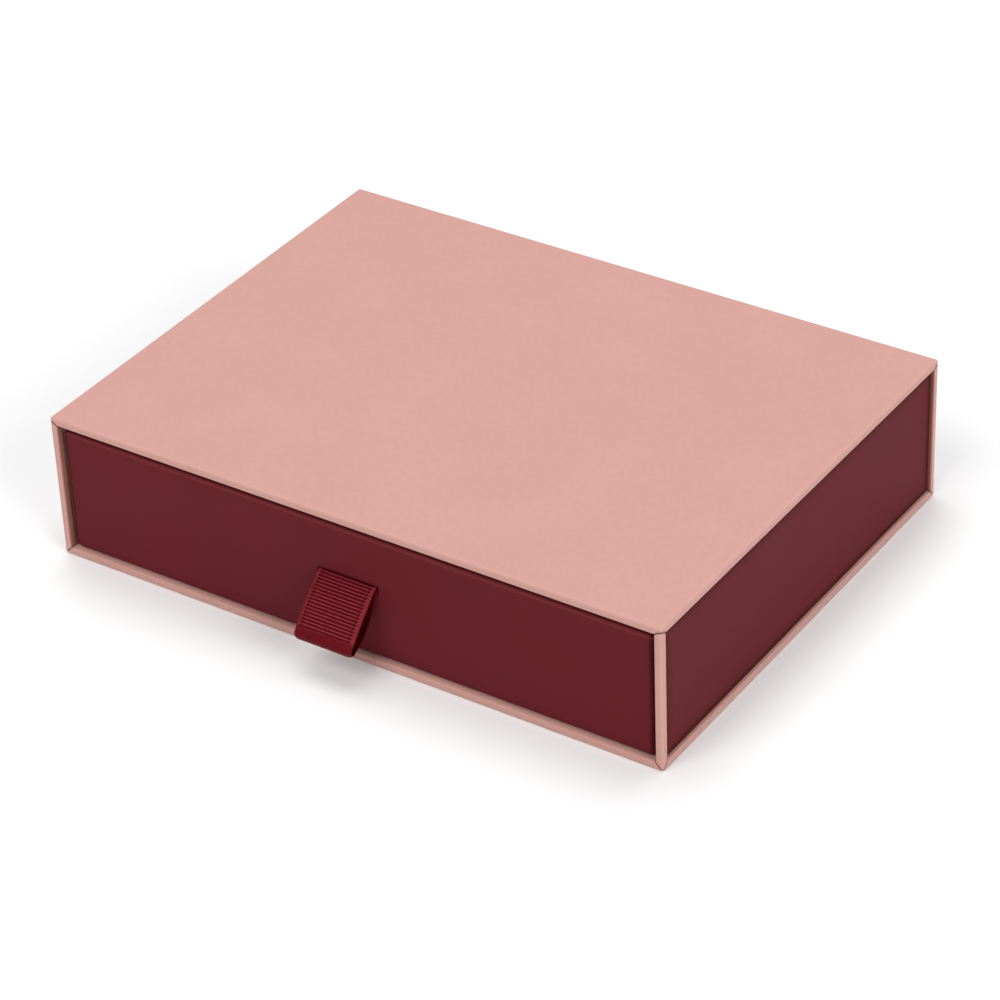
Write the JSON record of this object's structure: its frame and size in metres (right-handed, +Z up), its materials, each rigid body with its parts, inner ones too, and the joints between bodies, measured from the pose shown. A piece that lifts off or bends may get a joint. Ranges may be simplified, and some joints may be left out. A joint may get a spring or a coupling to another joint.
{
  "type": "sliding drawer gift box",
  "caption": "Rigid paper-wrapped gift box: a framed sleeve with one drawer that slides out of its long front by a ribbon loop.",
  "frame": {"origin": "middle of the sleeve's underside, where the box rests", "axes": "+X to the right along the long front, +Y from the drawer front to the back, +Z up; the drawer slides towards -Y"},
  "size_m": [0.2, 0.1637, 0.046],
  "materials": {
    "pink_paper": "satin",
    "burgundy_paper": "satin",
    "greyboard": "matte",
    "kraft_tape": "matte",
    "grosgrain_ribbon": "satin"
  },
  "bodies": {
    "sleeve": {"sleeve_bottom_board": "greyboard", "sleeve_top_board": "greyboard", "sleeve_left_wall_board": "greyboard", "sleeve_right_wall_board": "greyboard", "sleeve_back_wall_board": "greyboard", "sleeve_front_left_post": "greyboard", "sleeve_front_right_post": "greyboard", "sleeve_rear_left_post": "greyboard", "sleeve_rear_right_post": "greyboard", "sleeve_bottom_paper": "pink_paper", "sleeve_top_paper": "pink_paper", "sleeve_front_left_post_paper": "pink_paper", "sleeve_front_right_post_paper": "pink_paper", "sleeve_rear_left_post_paper": "pink_paper", "sleeve_rear_right_post_paper": "pink_paper", "sleeve_left_wall_paper": "burgundy_paper", "sleeve_right_wall_paper": "burgundy_paper", "sleeve_back_wall_paper": "burgundy_paper", "sleeve_left_wall_lining": "pink_paper", "sleeve_right_wall_lining": "pink_paper", "sleeve_back_wall_lining": "pink_paper", "sleeve_floor_lining": "pink_paper", "sleeve_ceiling_lining": "pink_paper"},
    "drawer": {"drawer_bottom_board": "greyboard", "drawer_front_board": "greyboard", "drawer_back_board": "greyboard", "drawer_left_board": "greyboard", "drawer_right_board": "greyboard", "drawer_front_left_stay": "kraft_tape", "drawer_front_right_stay": "kraft_tape", "drawer_rear_left_stay": "kraft_tape", "drawer_rear_right_stay": "kraft_tape", "drawer_outer_paper": "burgundy_paper", "drawer_wall_lining": "burgundy_paper", "drawer_floor_lining": "burgundy_paper", "ribbon_lower_tail": "grosgrain_ribbon", "ribbon_upper_tail": "grosgrain_ribbon"},
    "ribbon": {"ribbon_pull_loop": "grosgrain_ribbon"}
  },
  "joints": [
    {"name": "drawer_slide", "type": "slide", "parent": "sleeve", "child": "drawer", "axis": [0, -1, 0], "range_m": [0, 0.1478]},
    {"name": "ribbon_lift", "type": "hinge", "parent": "drawer", "child": "ribbon", "pos_m": [0, -0.0746, 0.02536], "axis": [-1, 0, 0], "range_deg": [0, 50], "stiffness_Nm_per_rad": 0.0005}
  ]
}
